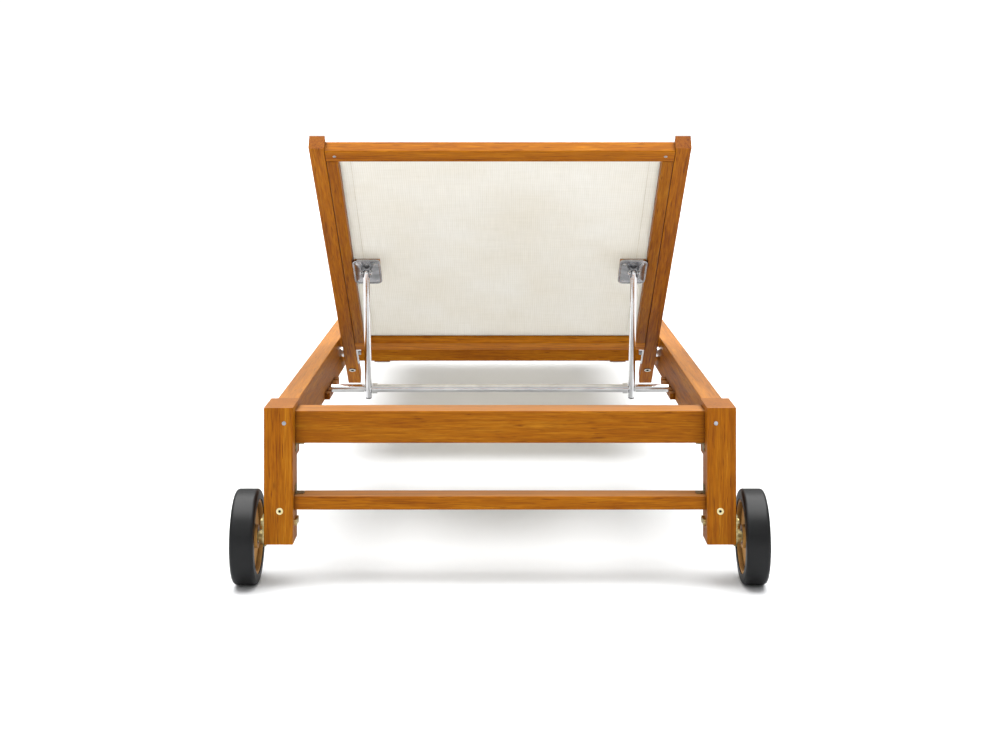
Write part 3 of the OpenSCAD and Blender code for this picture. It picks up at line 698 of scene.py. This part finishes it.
def thread_finish():
    """Cream polyester thread, a shade darker than the cloth, with a fine twist."""
    material, tree, shader = new_finish("cream_polyester_thread")
    spot = add(tree, "ShaderNodeTexCoord").outputs["Object"]
    twist = noise(tree, spot, 0.4, Detail=1.0)
    colour = ramp(tree, twist, [(0.3, "#C9C1AE"), (0.7, "#E4DDCC")])
    tree.links.new(colour, shader.inputs["Base Color"])
    relief(tree, shader, twist, 0.3, 0.0001)
    shader.inputs["Roughness"].default_value = 0.55
    return material


thread = thread_finish()
stitch = stitch_shape()


def sew(name, cloth, body):
    """A row of stitches down each side hem, on both faces of the cloth."""
    places = int(cloth.long / STITCH_PITCH)
    count = places - STITCHES_SPARED
    inset = (HEM_WIDE - STITCH_FROM_FOLD) / cloth.wide
    lift = CLOTH_MM / 2000 + THREAD_R * THREAD_LIES
    points = [cloth.point(u, (STITCHES_SPARED / 2 + 0.5 + k) / places, side * lift)
              for u in (inset, 1 - inset) for side in (-1, 1) for k in range(count)]
    turn = Matrix((ACROSS, cloth.along, cloth.up)).transposed().to_euler()
    return repeat(name, points, stitch, turn, thread, body)


def declare(cloth, name, shape, node, body):
    """Hides the CAD node that the cloth stands for, sets the cloth on the body that holds
    it, and sews its hems.
    """
    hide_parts(node)
    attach(cloth, body)
    sew(name, shape, body)


declare(seat_cloth, "seat_stitches", seat, "seat_sling", "frame")
declare(back_cloth, "back_stitches", back, "back_sling", "backrest")

# %% [markdown]
# ## The pressed brackets
# Each prop bracket is pressed from sheet steel, so its edge is rolled up into a rim that stiffens
# it, and its middle is pressed out into a shallow pillow that catches the light in a soft gradient.
# The rim is a round bead swept along the plate's outline, and the pillow is rings of the same
# outline that shrink to the middle as they rise.

# %% Bracket pressings
RIM_R = 0.0017
RIM_INSET = 0.6          # how far the rim's middle lies inside the plate's edge, in rim radii
RIM_SUNK = 0.4           # how far it lies below the plate's face, in rim radii
BRACKET_CORNER = 0.008
PILLOW_RISE = 0.0024
PLATE_EDGE = 0.0005      # the plate's top edge is all that reaches this near to its highest point
RIM_SIDES, PILLOW_RINGS, CORNER_STEPS = 10, 14, 8


def plate_outline(half_x, half_up, corner):
    """Points round a rounded rectangle: place across and up, and the outward direction there."""
    path = []
    for turn, (side_x, side_up) in enumerate(((1, 1), (-1, 1), (-1, -1), (1, -1))):
        for k in range(CORNER_STEPS + 1):
            angle = math.radians(90 * turn + 90 * k / CORNER_STEPS)
            out_x, out_up = math.cos(angle), math.sin(angle)
            path.append((side_x * (half_x - corner) + corner * out_x,
                         side_up * (half_up - corner) + corner * out_up, out_x, out_up))
    return path


def pressing(name, node, body):
    """The rolled rim and the pillow of one bracket plate, as one piece."""
    low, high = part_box(node)
    coords = [v.co for v in nodes[node].data.vertices]
    ups = sorted(UP_BACK.dot(c) for c in coords)
    face = max(REAR_SIDE.dot(c) for c in coords if UP_BACK.dot(c) > ups[-1] - PLATE_EDGE)
    middle = (ACROSS * ((low.x + high.x) / 2) + UP_BACK * ((ups[0] + ups[-1]) / 2)
              + REAR_SIDE * face)
    path = plate_outline((high.x - low.x) / 2 - RIM_R * RIM_INSET,
                         (ups[-1] - ups[0]) / 2 - RIM_R * RIM_INSET, BRACKET_CORNER)
    count = len(path)
    verts, faces = [], []
    for x, up, out_x, out_up in path:
        for k in range(RIM_SIDES):
            turn = 2 * math.pi * k / RIM_SIDES
            bulge = RIM_R * math.cos(turn)
            verts.append(middle + ACROSS * (x + out_x * bulge) + UP_BACK * (up + out_up * bulge)
                         + REAR_SIDE * (RIM_R * (math.sin(turn) - RIM_SUNK)))
    for a in range(count):
        after = (a + 1) % count
        for k in range(RIM_SIDES):
            beside = (k + 1) % RIM_SIDES
            faces.append((a * RIM_SIDES + k, after * RIM_SIDES + k,
                          after * RIM_SIDES + beside, a * RIM_SIDES + beside))
    start = len(verts)
    verts.append(middle + REAR_SIDE * PILLOW_RISE)
    for ring in range(1, PILLOW_RINGS + 1):
        share = ring / PILLOW_RINGS
        for x, up, _, _ in path:
            verts.append(middle + ACROSS * (x * share) + UP_BACK * (up * share)
                         + REAR_SIDE * (PILLOW_RISE * (1 - share * share)))
    for a in range(count):
        after = (a + 1) % count
        faces.append((start, start + 1 + after, start + 1 + a))
        for ring in range(PILLOW_RINGS - 1):
            inner, outer = start + 1 + ring * count, start + 1 + (ring + 1) * count
            faces.append((inner + a, inner + after, outer + after, outer + a))
    mesh = bpy.data.meshes.new(name)
    mesh.from_pydata(verts, [], faces)
    mesh.materials.append(pressed_steel)
    mesh.shade_smooth()
    pressed = bpy.data.objects.new(name, mesh)
    scene.collection.objects.link(pressed)
    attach(pressed, body)
    print(f"{name}: {len(faces)} faces")


pressing("bracket_pressing_left", "prop_bracket_left", "backrest")
pressing("bracket_pressing_right", "prop_bracket_right", "backrest")

# %% [markdown]
# ## Floor and light
# The lounger stands on a seamless white floor under broad, soft light from above and from both
# sides, so its shadow is only a faint grey pool. The floor and the surroundings are white to the
# eye, but they give back less light than they show: full white from every side would wash out the
# wood and leave the steel with nothing to reflect.

# %% Studio
FLOOR_HALF = 30.0            # metres from the middle to the edge of the floor
FLOOR_SEEN = "#F8F9FA"
FLOOR_BOUNCE = "#C6C7C9"     # what the floor throws back up, as if it were a pale grey
SIDE_GLOW, TOP_GLOW = 0.26, 0.7     # light from the surroundings, low down and overhead
GLOW_FROM, GLOW_TO = 0.02, 0.55     # heights on the dome between which it grows
WHITE_SEEN = 1.05            # brightness of the surroundings as they are seen
SKY_AIM, SKY_SPREAD, SKY_STRENGTH = (0.0, -0.12, -1.0), 70, 5.0
SOFTBOX_AT, SOFTBOX_AIM = (-1.8, -4.4, 2.4), (0, -0.7, 0.3)
SOFTBOX_SIZE, SOFTBOX_WATTS = 2.0, 12


def floor():
    """A wide white floor with a dull sheen."""
    mesh = bpy.data.meshes.new("floor")
    corners = [(x * FLOOR_HALF, y * FLOOR_HALF, 0)
               for x, y in ((-1, -1), (1, -1), (1, 1), (-1, 1))]
    mesh.from_pydata(corners, [], [(0, 1, 2, 3)])
    material, tree, shader = new_finish("white_studio_floor")
    seen = add(tree, "ShaderNodeLightPath").outputs["Is Camera Ray"]
    paint = blend(tree, seen, linear(FLOOR_BOUNCE), linear(FLOOR_SEEN))
    tree.links.new(paint, shader.inputs["Base Color"])
    shader.inputs["Roughness"].default_value = 0.7
    shader.inputs["Specular IOR Level"].default_value = 0.2
    mesh.materials.append(material)
    ground = bpy.data.objects.new("floor", mesh)
    scene.collection.objects.link(ground)


def sky_panel(name, aim, spread, strength):
    """Even soft light over the whole floor, shining towards aim."""
    lamp = bpy.data.lights.new(name, "SUN")
    lamp.energy, lamp.angle = strength, math.radians(spread)
    holder = bpy.data.objects.new(name, lamp)
    holder.rotation_euler = Vector(aim).to_track_quat("-Z", "Y").to_euler()
    scene.collection.objects.link(holder)


def soft_light(name, place, aim, size, watts):
    """A large area light at place, pointed at aim."""
    lamp = bpy.data.lights.new(name, "AREA")
    lamp.shape, lamp.size, lamp.energy = "SQUARE", size, watts
    holder = bpy.data.objects.new(name, lamp)
    holder.location = place
    holder.rotation_euler = (Vector(aim) - Vector(place)).to_track_quat("-Z", "Y").to_euler()
    scene.collection.objects.link(holder)


def surroundings():
    """White to the eye, but brighter overhead than at the sides, so metal has something to show."""
    world = bpy.data.worlds.new("studio")
    world.use_nodes = True
    tree = world.node_tree
    dome = add(tree, "ShaderNodeTexCoord").outputs["Generated"]
    height = add(tree, "ShaderNodeSeparateXYZ", _0=dome).outputs[2]
    glow = rescale(tree, height, From_Min=GLOW_FROM, From_Max=GLOW_TO,
                   To_Min=SIDE_GLOW, To_Max=TOP_GLOW)
    seen = add(tree, "ShaderNodeLightPath").outputs["Is Camera Ray"]
    strength = average(tree, seen, glow, WHITE_SEEN)
    tree.links.new(strength, tree.nodes["Background"].inputs["Strength"])
    tree.nodes["Background"].inputs["Color"].default_value = (1.0, 1.0, 1.0, 1.0)
    scene.world = world


floor()
surroundings()
sky_panel("sky_panel", SKY_AIM, SKY_SPREAD, SKY_STRENGTH)
soft_light("head_softbox", SOFTBOX_AT, SOFTBOX_AIM, SOFTBOX_SIZE, SOFTBOX_WATTS)
print("studio ready")
